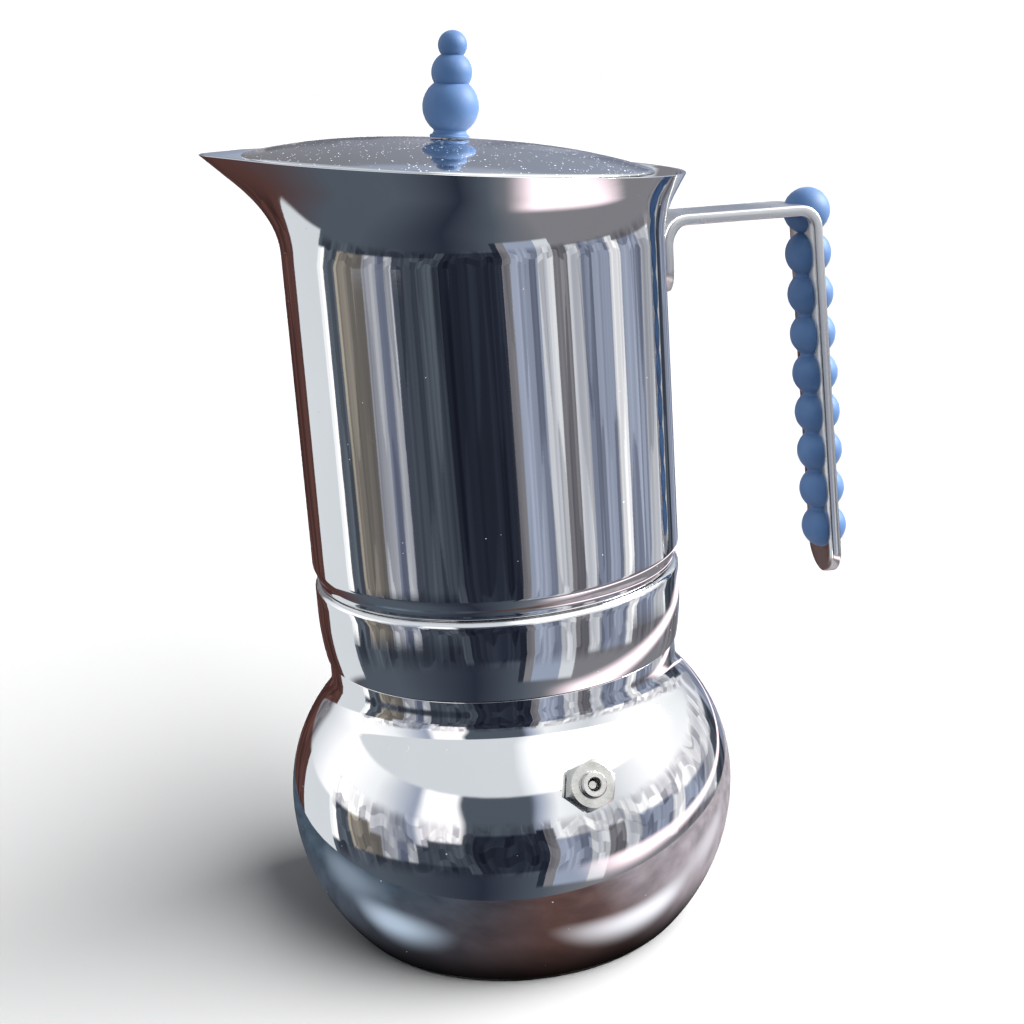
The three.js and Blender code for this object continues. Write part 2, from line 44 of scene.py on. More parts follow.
# An arc is given by how far its centre is from the pot's axis, then its radius.
BASE = {"radius": 42.2, "height": 1.2}
BELLY = {"waist": 36.0, "wall": 1.2, "low": (5.25, 51.7), "high": (16.55, 40.4)}
NECK = {"radius": 44.0, "top": 74.2, "bore": 40.6, "rim": 88.0}
# A ridge is given by the radius at its root, then at its crest.
THREAD = {"pitch": 3.0, "turns": 2.0, "start": 77.8, "male": (41.9, 42.55), "female": (43.3, 42.65)}
JUG = {
    "radius": 46.0, "wall": 1.0, "floor": 92.4, "seam": 43.3, "groove": 44.8,
    "flare": 175.0, "slip": 1.0, "rim": 194.4, "slope": -0.1109,
    "mouth": (-3.0, 54.5), "nose": (-54.0, 9.0), "bend": 0.72,
}
LID = {"x": -4.4, "radius": 48.8, "dome": 5.15, "power": 2.6, "wall": 0.8}
KNOB_BALLS = [(12.6, 6.67), (20.4, 4.8), (26.6, 3.42)]    # height over the lid, radius
STRAP = {"half_width": 7.5, "half_thick": 1.35, "bend": 4.6, "foot": 158.2, "free": 79.0,
         "bar_start": 176.35, "bar_end": 175.7}
GRIP = {"beads": 8, "radius": 5.825, "neck": 3.5, "top": (87.18, 164.0), "bottom": (90.06, 91.6)}
CORNER_BALL = {"x": 87.0, "z": 174.8, "radius": 5.875}
VALVE = {"azimuth": -84.5, "height": 54.0, "apothem": 5.4, "from": 0.8, "to": 4.2, "turn": 13.3,
         "boss": 3.1, "boss_to": 5.5, "hole": 1.55, "chamber": 2.7, "shank": 3.9, "depth": -6.0}
CAMERA = {"place": (-100.24, -413.20, 227.11), "heading": 75.707, "tilt": -15.742, "roll": -3.974,
          "lens": 61.84}

# ---- Helpers -------------------------------------------------------------


def arc(centre_r, centre_z, radius, start, end, steps):
    """Points [r, z] along an arc, angles in degrees from +r towards +z."""
    points = []
    for i in range(steps + 1):
        angle = math.radians(start + (end - start) * i / steps)
        points.append((centre_r + radius * math.cos(angle), centre_z + radius * math.sin(angle)))
    return points


def bezier(p0, p1, p2, steps):
    """A quadratic curve's points, without its first one."""
    points = []
    for i in range(1, steps + 1):
        t = i / steps
        a, b, c = (1 - t) ** 2, 2 * t * (1 - t), t * t
        points.append((a * p0[0] + b * p1[0] + c * p2[0], a * p0[1] + b * p1[1] + c * p2[1]))
    return points


def rounded(points, radius, steps=4):
    """Round every inner corner of an open outline by about the given radius."""
    out = [points[0]]
    for before, here, after in zip(points, points[1:], points[2:]):
        a = Vector(before) - Vector(here)
        b = Vector(after) - Vector(here)
        r = min(radius, a.length * 0.45, b.length * 0.45)
        start = Vector(here) + a.normalized() * r
        end = Vector(here) + b.normalized() * r
        out.append(tuple(start))
        out.extend(bezier(tuple(start), here, tuple(end), steps))
    out.append(points[-1])
    return out


def finish_mesh(name, mesh, material, body, nodes=(), sharp=35.0):
    """Smooth the mesh, give it its material and body, and hide the CAD nodes it stands for."""
    work = bmesh.new()
    work.from_mesh(mesh)
    bmesh.ops.remove_doubles(work, verts=work.verts, dist=1e-7)
    bmesh.ops.dissolve_degenerate(work, edges=work.edges, dist=1e-7)
    bmesh.ops.recalc_face_normals(work, faces=work.faces)
    work.to_mesh(mesh)
    work.free()
    mesh.shade_smooth()
    mesh.set_sharp_from_angle(angle=math.radians(sharp))
    mesh.materials.append(material)
    piece = bpy.data.objects.new(name, mesh)
    bpy.context.scene.collection.objects.link(piece)
    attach(piece, body)
    if nodes:
        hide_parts(*nodes)
    return piece


def grid_mesh(name, rings, closed_along=True, place=None):
    """Join rings of millimetre points into a closed skin; open ends are capped."""
    across = len(rings[0])
    points = [Vector(p) * MM for ring in rings for p in ring]
    if place is not None:
        points = [place @ p for p in points]
    faces = []
    last = len(rings) if closed_along else len(rings) - 1
    for i in range(last):
        j = (i + 1) % len(rings)
        for k in range(across):
            m = (k + 1) % across
            faces.append((i * across + k, i * across + m, j * across + m, j * across + k))
    if not closed_along:
        faces.append(tuple(range(across)))
        faces.append(tuple(range((len(rings) - 1) * across, len(rings) * across)))
    mesh = bpy.data.meshes.new(name)
    mesh.from_pydata([tuple(p) for p in points], [], faces)
    return mesh


def lathe_mesh(name, outline, segments=192, place=None):
    """Turn a closed [r, z] outline about Z; outline ends on the axis close there."""
    rings = []
    for i in range(segments):
        angle = 2 * math.pi * i / segments
        rings.append([(r * math.cos(angle), r * math.sin(angle), z) for r, z in outline])
    return grid_mesh(name, rings, True, place)


# ---- Materials -----------------------------------------------------------


def new_material(name):
    material = bpy.data.materials.new(name)
    material.use_nodes = True
    return material, material.node_tree.nodes["Principled BSDF"], material.node_tree


def display(colour, gain=1.0):
    """Scene-linear colour for a display colour of 0 to 255."""
    return tuple(gain * (c / 255) ** 2.2 for c in colour) + (1.0,)


def math_node(tree, kind, first, second=None):
    """A math node fed by sockets or plain numbers; gives its output socket."""
    node = tree.nodes.new("ShaderNodeMath")
    node.operation = kind
    for socket, value in zip(node.inputs, (first, second)):
        if value is None:
            continue
        if isinstance(value, (int, float)):
            socket.default_value = value
        else:
            tree.links.new(value, socket)
    return node.outputs[0]


def ramp_node(tree, factor, stops, interpolation="LINEAR"):
    """A colour ramp with (place, colour) stops; gives its colour socket."""
    node = tree.nodes.new("ShaderNodeValToRGB")
    ramp = node.color_ramp
    ramp.interpolation = interpolation
    stops = sorted(stops)
    while len(ramp.elements) < len(stops):
        ramp.elements.new(0.5)
    for element, (place, _) in zip(ramp.elements, stops):
        element.position = place
    for element, (_, colour) in zip(ramp.elements, stops):
        element.color = colour
    tree.links.new(factor, node.inputs["Fac"])
    return node.outputs["Color"]


def mix_node(tree, factor, first, second, kind="MIX"):
    """A colour mix; gives its result socket."""
    node = tree.nodes.new("ShaderNodeMix")
    node.data_type = "RGBA"
    node.blend_type = kind
    for name, value in (("Factor_Float", factor), ("A_Color", first), ("B_Color", second)):
        socket = next(item for item in node.inputs if item.identifier == name)
        if isinstance(value, (int, float, tuple)):
            socket.default_value = value
        else:
            tree.links.new(value, socket)
    return next(item for item in node.outputs if item.identifier == "Result_Color")


def between(tree, value, low, high):
    """0 below the low value, 1 above the high one, smooth between."""
    node = tree.nodes.new("ShaderNodeMapRange")
    node.interpolation_type = "SMOOTHSTEP"
    node.inputs["From Min"].default_value = low
    node.inputs["From Max"].default_value = high
    tree.links.new(value, node.inputs["Value"])
    return node.outputs["Result"]


def noise_node(tree, vector, scale, detail, stretch=(1, 1, 1)):
    """Noise over a stretched vector; gives its height socket."""
    mapping = tree.nodes.new("ShaderNodeMapping")
    mapping.inputs["Scale"].default_value = stretch
    tree.links.new(vector, mapping.inputs["Vector"])
    node = tree.nodes.new("ShaderNodeTexNoise")
    node.inputs["Scale"].default_value = scale
    node.inputs["Detail"].default_value = detail
    tree.links.new(mapping.outputs["Vector"], node.inputs["Vector"])
    return node.outputs["Fac"]


def roughen(tree, shader, height, strength, depth):
    """Bump the shader's surface by a height socket; the depth is in metres."""
    bump = tree.nodes.new("ShaderNodeBump")
    bump.inputs["Strength"].default_value = strength
    bump.inputs["Distance"].default_value = depth
    tree.links.new(height, bump.inputs["Height"])
    tree.links.new(bump.outputs["Normal"], shader.inputs["Normal"])


def cloudy(tree, cloud, dark, pale):
    """A colour that drifts between two by a noise socket; gives its socket."""
    return ramp_node(tree, cloud, [(0.30, (*dark, 1)), (0.70, (*pale, 1))])


def steel(name, colour, roughness, scratch, dust=0.0):
    """Steel with faint wiping marks, smudges and, where the dust is over 0, pale specks."""
    material, shader, tree = new_material(name)
    shader.inputs["Metallic"].default_value = 1.0
    where = tree.nodes.new("ShaderNodeTexCoord").outputs["Object"]
    smudge = noise_node(tree, where, 26.0, 4.0, (1, 1, 0.6))
    level = tree.nodes.new("ShaderNodeMapRange")
    level.inputs["From Min"].default_value = 0.35
    level.inputs["From Max"].default_value = 0.75
    level.inputs["To Min"].default_value = roughness * 0.7
    level.inputs["To Max"].default_value = roughness * 1.9
    tree.links.new(smudge, level.inputs["Value"])
    rough = level.outputs["Result"]
    tint = ramp_node(tree, smudge, [(0.3, (*colour, 1)), (0.8, (*(c * 0.93 for c in colour), 1))])
    if dust > 0:
        specks = speck_node(tree, where, dust)
        tint = mix_node(tree, specks, tint, (0.95, 0.95, 0.95, 1))
        tree.links.new(math_node(tree, "SUBTRACT", 1.0, specks), shader.inputs["Metallic"])
        rough = math_node(tree, "MAXIMUM", rough, math_node(tree, "MULTIPLY", specks, 0.6))
    tree.links.new(tint, shader.inputs["Base Color"])
    tree.links.new(rough, shader.inputs["Roughness"])
    lines = noise_node(tree, where, 210.0, 3.0, (1.0, 0.9, 0.05))
    rubs = noise_node(tree, where, 260.0, 3.0, (0.08, 0.9, 1.0))
    roughen(tree, shader, math_node(tree, "ADD", lines, rubs), scratch, 0.0002)
    return material


def speck_node(tree, where, amount):
    """Small round specks scattered over the surface; gives a mask."""
    cells = tree.nodes.new("ShaderNodeTexVoronoi")
    cells.inputs["Scale"].default_value = 1500.0
    tree.links.new(where, cells.inputs["Vector"])
    split = tree.nodes.new("ShaderNodeSeparateColor")
    tree.links.new(cells.outputs["Color"], split.inputs["Color"])
    chosen = math_node(tree, "LESS_THAN", split.outputs["Red"], amount)
    size = math_node(tree, "MULTIPLY", split.outputs["Green"], 0.30)
    inside = math_node(tree, "LESS_THAN", cells.outputs["Distance"], size)
    return math_node(tree, "MULTIPLY", chosen, inside)


def matt(name, grey):
    """An even, quite dull grey, for the stage only."""
    material, shader, _ = new_material(name)
    shader.inputs["Base Color"].default_value = (grey, grey, grey, 1)
    shader.inputs["Roughness"].default_value = 1.0
    shader.inputs["Specular IOR Level"].default_value = 0
    return material


def turned_metal():
    """Dull grey metal, a little uneven, with fine machining marks."""
    material, shader, tree = new_material("valve_metal")
    where = tree.nodes.new("ShaderNodeTexCoord").outputs["Object"]
    cloud = noise_node(tree, where, 260.0, 4.0)
    colour = cloudy(tree, cloud, (0.50, 0.49, 0.46), (0.64, 0.63, 0.60))
    tree.links.new(colour, shader.inputs["Base Color"])
    shader.inputs["Metallic"].default_value = 1.0
    rough = cloudy(tree, cloud, (0.17, 0.17, 0.17), (0.30, 0.30, 0.30))
    tree.links.new(rough, shader.inputs["Roughness"])
    roughen(tree, shader, noise_node(tree, where, 900.0, 3.0, (1, 6, 1)), 0.08, 0.0002)
    return material


def rubber():
    """Off-white seal rubber, a little stained and dusty."""
    material, shader, tree = new_material("seal_rubber")
    where = tree.nodes.new("ShaderNodeTexCoord").outputs["Object"]
    cloud = noise_node(tree, where, 120.0, 5.0)
    colour = cloudy(tree, cloud, (0.62, 0.58, 0.51), (0.80, 0.78, 0.73))
    tree.links.new(colour, shader.inputs["Base Color"])
    shader.inputs["Roughness"].default_value = 0.72
    roughen(tree, shader, noise_node(tree, where, 800.0, 3.0), 0.10, 0.0002)
    return material


def blue_plastic():
    """Soft matt blue, a little uneven, with fine rubbing on it."""
    material, shader, tree = new_material("blue_grip")
    where = tree.nodes.new("ShaderNodeTexCoord").outputs["Object"]
    cloud = noise_node(tree, where, 90.0, 5.0)
    colour = cloudy(tree, cloud, (0.044, 0.115, 0.270), (0.062, 0.150, 0.330))
    tree.links.new(colour, shader.inputs["Base Color"])
    shader.inputs["Roughness"].default_value = 0.58
    shader.inputs["Sheen Weight"].default_value = 0.12
    roughen(tree, shader, noise_node(tree, where, 700.0, 4.0), 0.12, 0.0003)
    return material


POLISHED = steel("polished_steel", (0.84, 0.84, 0.845), 0.035, 0.03, 0.004)
SATIN = steel("satin_steel", (0.62, 0.62, 0.61), 0.28, 0.10)
STRAP_STEEL = steel("strap_steel", (0.80, 0.80, 0.79), 0.20, 0.05)
LID_STEEL = steel("lid_steel", (0.78, 0.78, 0.78), 0.07, 0.06, 0.34)
VALVE_METAL = turned_metal()
BLUE = blue_plastic()
RUBBER = rubber()

# ---- Boiler --------------------------------------------------------------


def thread_mesh(name, radii, phase):
    """A helical ridge from its root radius to its crest, with faded ends."""
    root, crest = radii
    per_turn = 72
    fade = 12
    steps = int(THREAD["turns"] * per_turn)
    bury = math.copysign(0.2, root - crest)
    rings = []
    for i in range(steps + 1):
        angle = 2 * math.pi * i / per_turn + phase
        middle = THREAD["start"] + THREAD["pitch"] * i / per_turn
        tip = root + (crest - root) * min(1.0, min(i, steps - i) / fade)
        section = [(root + bury, -0.8), (root, -0.8), (tip, -0.4), (tip, 0.4), (root, 0.8),
                   (root + bury, 0.8)]
        rings.append([(r * math.cos(angle), r * math.sin(angle), middle + z) for r, z in section])
    return grid_mesh(name, rings, False)


def belly_arcs(inset, start, end, steps):
    """Lower and upper belly arcs, moved in by a wall."""
    low, high = BELLY["low"], BELLY["high"]
    lower = arc(low[0], BELLY["waist"], low[1] - inset, start, 0, steps)
    upper = arc(high[0], BELLY["waist"], high[1] - inset, 0, end, steps)
    return lower + upper[1:]


def make_boiler():
    outside = belly_arcs(0, -41.3, 42.1, 40)
    start = outside[-1]
    neck = NECK["radius"]
    outline = [(0.0, 1.5), (42.6, 1.5)]
    outline += bezier((42.6, 1.5), (43.6, 1.5), outside[0], 5)[:-1]
    outline += outside
    outline += bezier(start, (neck + 0.3, 65.6), (neck, 69.0), 10)
    outline += rounded([(neck, 71.0), (neck, NECK["top"]), (41.9, NECK["top"]), (41.9, 87.4),
                        (41.4, NECK["rim"]), (NECK["bore"], NECK["rim"]), (NECK["bore"], 80.0)], 0.25)
    outline += [(NECK["bore"], 73.6), (42.8, 70.5), (42.8, 68.0), (43.4, 65.4)]
    outline += belly_arcs(BELLY["wall"], -40.8, 42.1, 24)[::-1]
    outline += [(0.0, 2.7)]
    mesh = lathe_mesh("boiler", outline, 256)
    finish_mesh("boiler", mesh, POLISHED, "boiler", ["boiler_shell"])
    ridge = thread_mesh("boiler_thread", THREAD["male"], 0.0)
    finish_mesh("boiler_thread", ridge, POLISHED, "boiler")
    radius, height = BASE["radius"], BASE["height"]
    disc = rounded([(0, 0), (radius, 0), (radius, height), (0, height)], 0.5)
    mesh = lathe_mesh("base_plate", disc, 192)
    finish_mesh("base_plate", mesh, SATIN, "boiler", ["base_disc"])


# ---- Safety valve --------------------------------------------------------


def valve_place():
    """The valve's own axes: Z square to the belly at the valve, origin on the belly."""
    centre, radius = BELLY["high"]
    lift = math.asin((VALVE["height"] - BELLY["waist"]) / radius)
    reach = centre + radius * math.cos(lift)
    turn = Matrix.Rotation(math.radians(VALVE["azimuth"]), 4, "Z")
    move = Matrix.Translation(Vector((reach, 0, VALVE["height"])) * MM)
    return turn @ move @ Matrix.Rotation(math.pi / 2 - lift, 4, "Y")


def make_valve():
    """Hexagon with a turned chamfer, a proud round boss and a drilled hole, as one skin."""
    apothem = VALVE["apothem"]
    flat_circle = apothem - 0.15
    low, high = VALVE["from"], VALVE["to"]
    boss, top, hole = VALVE["boss"], VALVE["boss_to"], VALVE["hole"]
    chamber, shank = VALVE["chamber"], VALVE["shank"]
    columns = 144
    rings = []
    for i in range(columns):
        angle = 2 * math.pi * i / columns
        sector = (angle + math.pi / 6) % (math.pi / 3) - math.pi / 6
        hexagon = apothem / math.cos(sector)
        fall = 0.62 * (hexagon - flat_circle)
        column = [(shank, low), (hexagon - 0.15, low), (hexagon, low + 0.15), (hexagon, high - fall),
                  (flat_circle, high), (boss + 0.15, high), (boss, high + 0.1), (boss, top - 0.35),
                  (boss - 0.35, top), (hole + 0.2, top), (hole, top - 0.2), (hole, 3.6),
                  (chamber, 3.2), (chamber, VALVE["depth"]), (shank, VALVE["depth"])]
        turn = angle + math.radians(VALVE["turn"])
        rings.append([(r * math.cos(turn), r * math.sin(turn), z) for r, z in column])
    mesh = grid_mesh("valve", rings, True, valve_place())
    finish_mesh("valve", mesh, VALVE_METAL, "boiler", ["valve_body"], sharp=20)


# ---- Jug -----------------------------------------------------------------


def rim_reach(angle):
    """Distance from the jug's axis to the rim, seen from above, in one direction."""
    mouth_x, mouth_r = JUG["mouth"]
    nose_x, nose_r = JUG["nose"]
    ray_x, ray_y = math.cos(angle), abs(math.sin(angle))
    normal_x = (mouth_r - nose_r) / (nose_x - mouth_x)
    normal_y = math.sqrt(1 - normal_x ** 2)

    def to_circle(x, radius):
        along = ray_x * x
        return along + math.sqrt(along * along - x * x + radius * radius)

    here = math.atan2(ray_y, ray_x)
    if here > math.atan2(nose_r * normal_y, nose_x + nose_r * normal_x):
        return to_circle(nose_x, nose_r)
    if here < math.atan2(mouth_r * normal_y, mouth_x + mouth_r * normal_x):
        return to_circle(mouth_x, mouth_r)
    return (normal_x * mouth_x + mouth_r) / (normal_x * ray_x + normal_y * ray_y)


def flare_opening(share):
    """How far the flare has opened at a share of its height."""
    bend = JUG["bend"]
    slope = 1 / (1 - bend / 2)
    if share < bend:
        return slope * share * share / (2 * bend)
    return slope * bend / 2 + slope * (share - bend)


def smoothed(values, reach):
    """A running mean round a closed list, so that curvature changes gently."""
    count = len(values)
    out = []
    for i in range(count):
        window = [values[(i + k) % count] for k in range(-reach, reach + 1)]
        out.append(sum(window) / len(window))
    return out


def make_jug():
    columns = 480
    steps = 28
    radius, wall = JUG["radius"], JUG["wall"]
    floor, seam, groove = JUG["floor"], JUG["seam"], JUG["groove"]
    lower = [(7.0, floor)] + rounded([(7.5, floor), (seam, floor), (seam, 94.5), (groove, 94.5),
                                      (groove, 96.0), (45.35, 97.2), (radius, 98.9),
                                      (radius, 104.0)], 0.6)
    upper = [(radius - wall, 104.0), (radius - wall, 99.1), (44.4, 97.6), (groove - wall, 96.4),
             (groove - wall, 94.4), (seam - wall, floor + wall), (7.0, floor + wall)]
    angles = [2 * math.pi * i / columns for i in range(columns)]
    reaches = smoothed([rim_reach(math.atan2(math.sin(a), math.cos(a))) for a in angles], 4)
    rings = []
    for angle, reach in zip(angles, reaches):
        c, s = math.cos(angle), math.sin(angle)
        rim_z = JUG["rim"] + JUG["slope"] * reach * c
        start_z = JUG["flare"] - JUG["slip"] * c

        def flare(inset, top):
            points = []
            for k in range(steps + 1):
                share = k / steps
                out = radius - inset + (reach - radius) * flare_opening(share)
                points.append((out, start_z + (rim_z - top - start_z) * share))
            return points

        lip = [(reach - 0.12, rim_z - 0.05), (reach - 0.4, rim_z), (reach - 0.7, rim_z - 0.05)]
        column = lower + [(radius, 140.0)] + flare(0, 0.2) + lip
        column += flare(wall - 0.1, 0.2)[::-1] + [(radius - wall, 140.0)] + upper
        rings.append([(r * c, r * s, z) for r, z in column])
    mesh = grid_mesh("jug", rings)
    finish_mesh("jug", mesh, POLISHED, "jug", ["jug_shell"], sharp=50)


def make_collar():
    outline = [(44.6, 74.6)] + bezier((44.6, 74.6), (45.7, 80.0), (45.8, 86.0), 12)
    outline += [(45.8, 90.0), (45.8, 91.2)]
    outline += arc(44.3, 92.7, 1.5, 0, 90, 10)[1:]
    outline += [(43.6, 94.2), (43.6, 91.8), (43.3, 91.5), (43.3, 75.4), (43.9, 74.6)]
    mesh = lathe_mesh("collar", outline, 256)
    finish_mesh("collar", mesh, POLISHED, "jug", ["threaded_collar"])
    ridge = thread_mesh("collar_thread", THREAD["female"], math.pi)
    finish_mesh("collar_thread", ridge, POLISHED, "jug")


# ---- Handle --------------------------------------------------------------


def grip_x(z):
    (x0, z0), (x1, z1) = GRIP["top"], GRIP["bottom"]
    return x0 + (x1 - x0) * (z0 - z) / (z0 - z1)


def strap_stations():
    """Middle point, turn, half width and dish at each station from foot to free end."""
    half = STRAP["half_width"]
    root = JUG["radius"] + 0.3 + STRAP["half_thick"]
    steps = [half * (1 - math.cos(math.radians(a))) for a in range(4, 91, 8)]
    stations = []

    def end_width(step):
        return math.sqrt(max(0.0, half * half - (half - step) ** 2))

    def bend(centre_x, centre_z, start, end):
        for i in range(17):
            turn = start + (end - start) * i / 16
            a = math.radians(turn)
            x = centre_x - STRAP["bend"] * math.cos(a)
            z = centre_z + STRAP["bend"] * math.sin(a)
            stations.append((x, z, a, half, max(0.0, 0.6 - turn / 40)))

    for step in steps:
        stations.append((root, STRAP["foot"] + step, 0.0, end_width(step), 1.0))
    low_start = STRAP["bar_start"] - STRAP["bend"]
    stations.append((root, low_start - 1, 0.0, half, 1.0))
    bend(root + STRAP["bend"], low_start, 0, 91.3)
    bend(grip_x(STRAP["bar_end"]) - STRAP["bend"], STRAP["bar_end"] - STRAP["bend"], 91.3, 182.3)
    for step in steps[::-1]:
        z = STRAP["free"] + step
        stations.append((grip_x(z), z, math.radians(182.3), end_width(step), 0.0))
    return stations


def make_strap():
    thick = STRAP["half_thick"]
    edge = 0.55
    rings = []
    for x, z, turn, width, dish in strap_stations():
        flat = max(0.05, width - edge)
        across = [-flat + 2 * flat * i / 6 for i in range(7)]
        section = [(-thick, y) for y in across]
        section += [(-thick + edge * (1 - math.cos(a)), flat + edge * math.sin(a))
                    for a in (0.5, 1.0, 1.5)]
        section += [(thick - edge * (1 - math.cos(a)), flat + edge * math.sin(a))
                    for a in (1.5, 1.0, 0.5)]
        section += [(thick, y) for y in across[::-1]]
        section += [(thick - edge * (1 - math.cos(a)), -flat - edge * math.sin(a))
                    for a in (0.5, 1.0, 1.5)]
        section += [(-thick + edge * (1 - math.cos(a)), -flat - edge * math.sin(a))
                    for a in (1.5, 1.0, 0.5)]
        ring = []
        for through, y in section:
            sag = dish * (JUG["radius"] - math.sqrt(JUG["radius"] ** 2 - y * y))
            ring.append((x + through * math.cos(turn) - sag, y, z - through * math.sin(turn)))
        rings.append(ring)
    mesh = grid_mesh("strap", rings, False)
    finish_mesh("strap", mesh, STRAP_STEEL, "jug", ["handle_strap"], sharp=40)


def grip_place():
    (x0, z0), (x1, z1) = GRIP["top"], GRIP["bottom"]
    lean = math.atan2(x1 - x0, z0 - z1)
    return Matrix.Translation(Vector((x0, 0, z0)) * MM) @ Matrix.Rotation(-lean, 4, "Y")


def bead_outline():
    (x0, z0), (x1, z1) = GRIP["top"], GRIP["bottom"]
    pitch = math.hypot(x1 - x0, z0 - z1) / (GRIP["beads"] - 1)
    radius = GRIP["radius"]
    open_angle = math.degrees(math.acos(GRIP["neck"] / radius))
    outline = [(0.0, -pitch * (GRIP["beads"] - 1) - radius)]
    for i in range(GRIP["beads"] - 1, -1, -1):
        start = -84 if i == GRIP["beads"] - 1 else -open_angle
        end = 84 if i == 0 else open_angle
        outline += arc(0, -pitch * i, radius, start, end, 18)
    outline.append((0.0, radius))
    return outline


def make_grip_half(name, side, node):
    """The bead string on one side of the strap, cut flat where it meets the strap."""
    mesh = lathe_mesh(name, bead_outline(), 64)
    work = bmesh.new()
    work.from_mesh(mesh)
    bmesh.ops.remove_doubles(work, verts=work.verts, dist=1e-7)
    everything = list(work.verts) + list(work.edges) + list(work.faces)
    cut = bmesh.ops.bisect_plane(work, geom=everything, plane_co=(side * 1.4 * MM, 0, 0),
                                 plane_no=(side, 0, 0), clear_inner=True)
    edges = [e for e in cut["geom_cut"] if isinstance(e, bmesh.types.BMEdge)]
    bmesh.ops.holes_fill(work, edges=edges, sides=0)
    work.to_mesh(mesh)
    work.free()
    mesh.transform(grip_place())
    finish_mesh(name, mesh, BLUE, "jug", [node], sharp=40)


def make_corner_ball():
    ball = CORNER_BALL
    outline = arc(0, 0, ball["radius"], -90, 90, 40)
    place = Matrix.Translation(Vector((ball["x"], 0, ball["z"])) * MM)
    mesh = lathe_mesh("corner_ball", outline, 64, place)
    finish_mesh("corner_ball", mesh, BLUE, "jug",
                ["grip_corner_outer", "grip_corner_inner"])


# ---- Lid -----------------------------------------------------------------


def lid_place():
    tilt = math.atan(-JUG["slope"])
    at = Vector((LID["x"], 0, JUG["rim"] + JUG["slope"] * LID["x"])) * MM
    return Matrix.Translation(at) @ Matrix.Rotation(tilt, 4, "Y")


def dome(r):
    return LID["dome"] * (1 - (r / LID["radius"]) ** LID["power"])


def make_lid():
    radius = LID["radius"]
    radii = [2.1] + [radius * i / 48 for i in range(3, 48)] + [radius - 0.35]
    outline = [(r, dome(r)) for r in radii]
    outline += arc(radius - 0.4, -0.4, 0.4, 60, -90, 6)
    outline += [(radius - 0.9, -0.75)]
    outline += [(r, dome(r) - LID["wall"]) for r in radii[:-1][::-1]]
    mesh = lathe_mesh("lid", outline, 256, lid_place())
    finish_mesh("lid", mesh, LID_STEEL, "lid", ["lid_shell"], sharp=50)


def make_knob():
    outline = [(0.0, 13.8), (2.0, 13.4), (2.0, 5.45), (4.6, 5.45)]
    outline += bezier((4.6, 5.45), (5.1, 5.9), (4.2, 6.3), 4)
    outline += bezier((4.2, 6.3), (3.8, 6.6), (3.9, 7.19), 3)
    start = math.degrees(math.atan2(-5.41, 3.9))    # where the lowest ball leaves its foot
    for i, (height, radius) in enumerate(KNOB_BALLS):
        end = 90.0
        following = 0.0
        if i + 1 < len(KNOB_BALLS):
            next_height, next_radius = KNOB_BALLS[i + 1]
            gap = next_height - height
            meet = (gap * gap + radius ** 2 - next_radius ** 2) / (2 * gap)
            side = math.sqrt(radius ** 2 - meet * meet)
            end = math.degrees(math.atan2(meet, side))
            following = math.degrees(math.atan2(meet - gap, side))
        outline += arc(0, height, radius, start, end, 24)[1:]
        start = following
    mesh = lathe_mesh("knob_beads", outline, 96, lid_place())
    finish_mesh("knob_beads", mesh, BLUE, "lid", ["knob"], sharp=40)


# ---- Inner pieces keep their CAD shape and get a finish ------------------


def dress_inner_pieces():
    for node in ("valve_nut", "valve_seat", "valve_poppet", "valve_spring"):
        paint(node, VALVE_METAL)
    for node in ("funnel_basket", "basket_sieve", "funnel_tube", "filter_plate", "riser_column",
                 "riser_cap", "lid_skirt", "knob_screw", "knob_washer", "grip_pin_upper",
                 "grip_pin_lower"):
        paint(node, SATIN)
    for node in ("valve_seal", "gasket"):
        paint(node, RUBBER)


def paint(node, material):
    for place in bpy.data.objects[node].material_slots:
        place.material = material


# ---- Room, table, floor and light ---------------------------------------

# What the polished steel mirrors: a room in four bands of height, from its floor to its
# ceiling. Each entry is azimuth in degrees from +X towards +Y, then a tone. A tone is a
# display colour where 255 is white; the lamp and the window are brighter than white.
TONES = {
    "lamp": (310, 310, 310), "window": (272, 272, 274), "white": (245, 248, 250),
    "pale": (210, 215, 220), "cool": (150, 160, 180), "warm": (150, 145, 135),
    "mid": (125, 125, 130), "slate": (80, 88, 98), "dark": (45, 50, 62), "brown": (84, 60, 57),
}
BAND_HIGH = [
    (-180, "pale"), (-100, "pale"), (-75, "lamp"), (-15, "lamp"), (10, "white"), (50, "white"),
    (75, "cool"), (140, "pale"), (180, "pale"),
]
BAND_MIDDLE = [
    (-180, "white"), (-155, "cool"), (-150, "window"), (-132, "window"), (-128, "slate"),
    (-96, "slate"), (-92, "cool"), (-80, "white"), (-50, "pale"), (-20, "window"), (20, "white"),
    (60, "cool"), (85, "mid"), (115, "mid"), (120, "pale"), (150, "window"), (180, "white"),
]
BAND_EYE = [
    (-180, "warm"), (-175, "pale"), (-165, "cool"), (-160, "pale"), (-155, "slate"),
    (-125, "dark"), (-90, "mid"), (-85, "cool"), (-70, "pale"), (-60, "mid"), (-50, "pale"),
    (-40, "cool"), (-20, "white"), (-10, "cool"), (10, "pale"), (25, "slate"), (40, "cool"),
    (80, "brown"), (120, "pale"), (150, "white"), (155, "slate"), (165, "warm"),
]
BAND_LOW = [(-180, "slate"), (-125, "dark"), (-90, "slate"), (-60, "mid"), (60, "mid"),
            (90, "brown"), (115, "brown"), (150, "slate"), (180, "slate")]

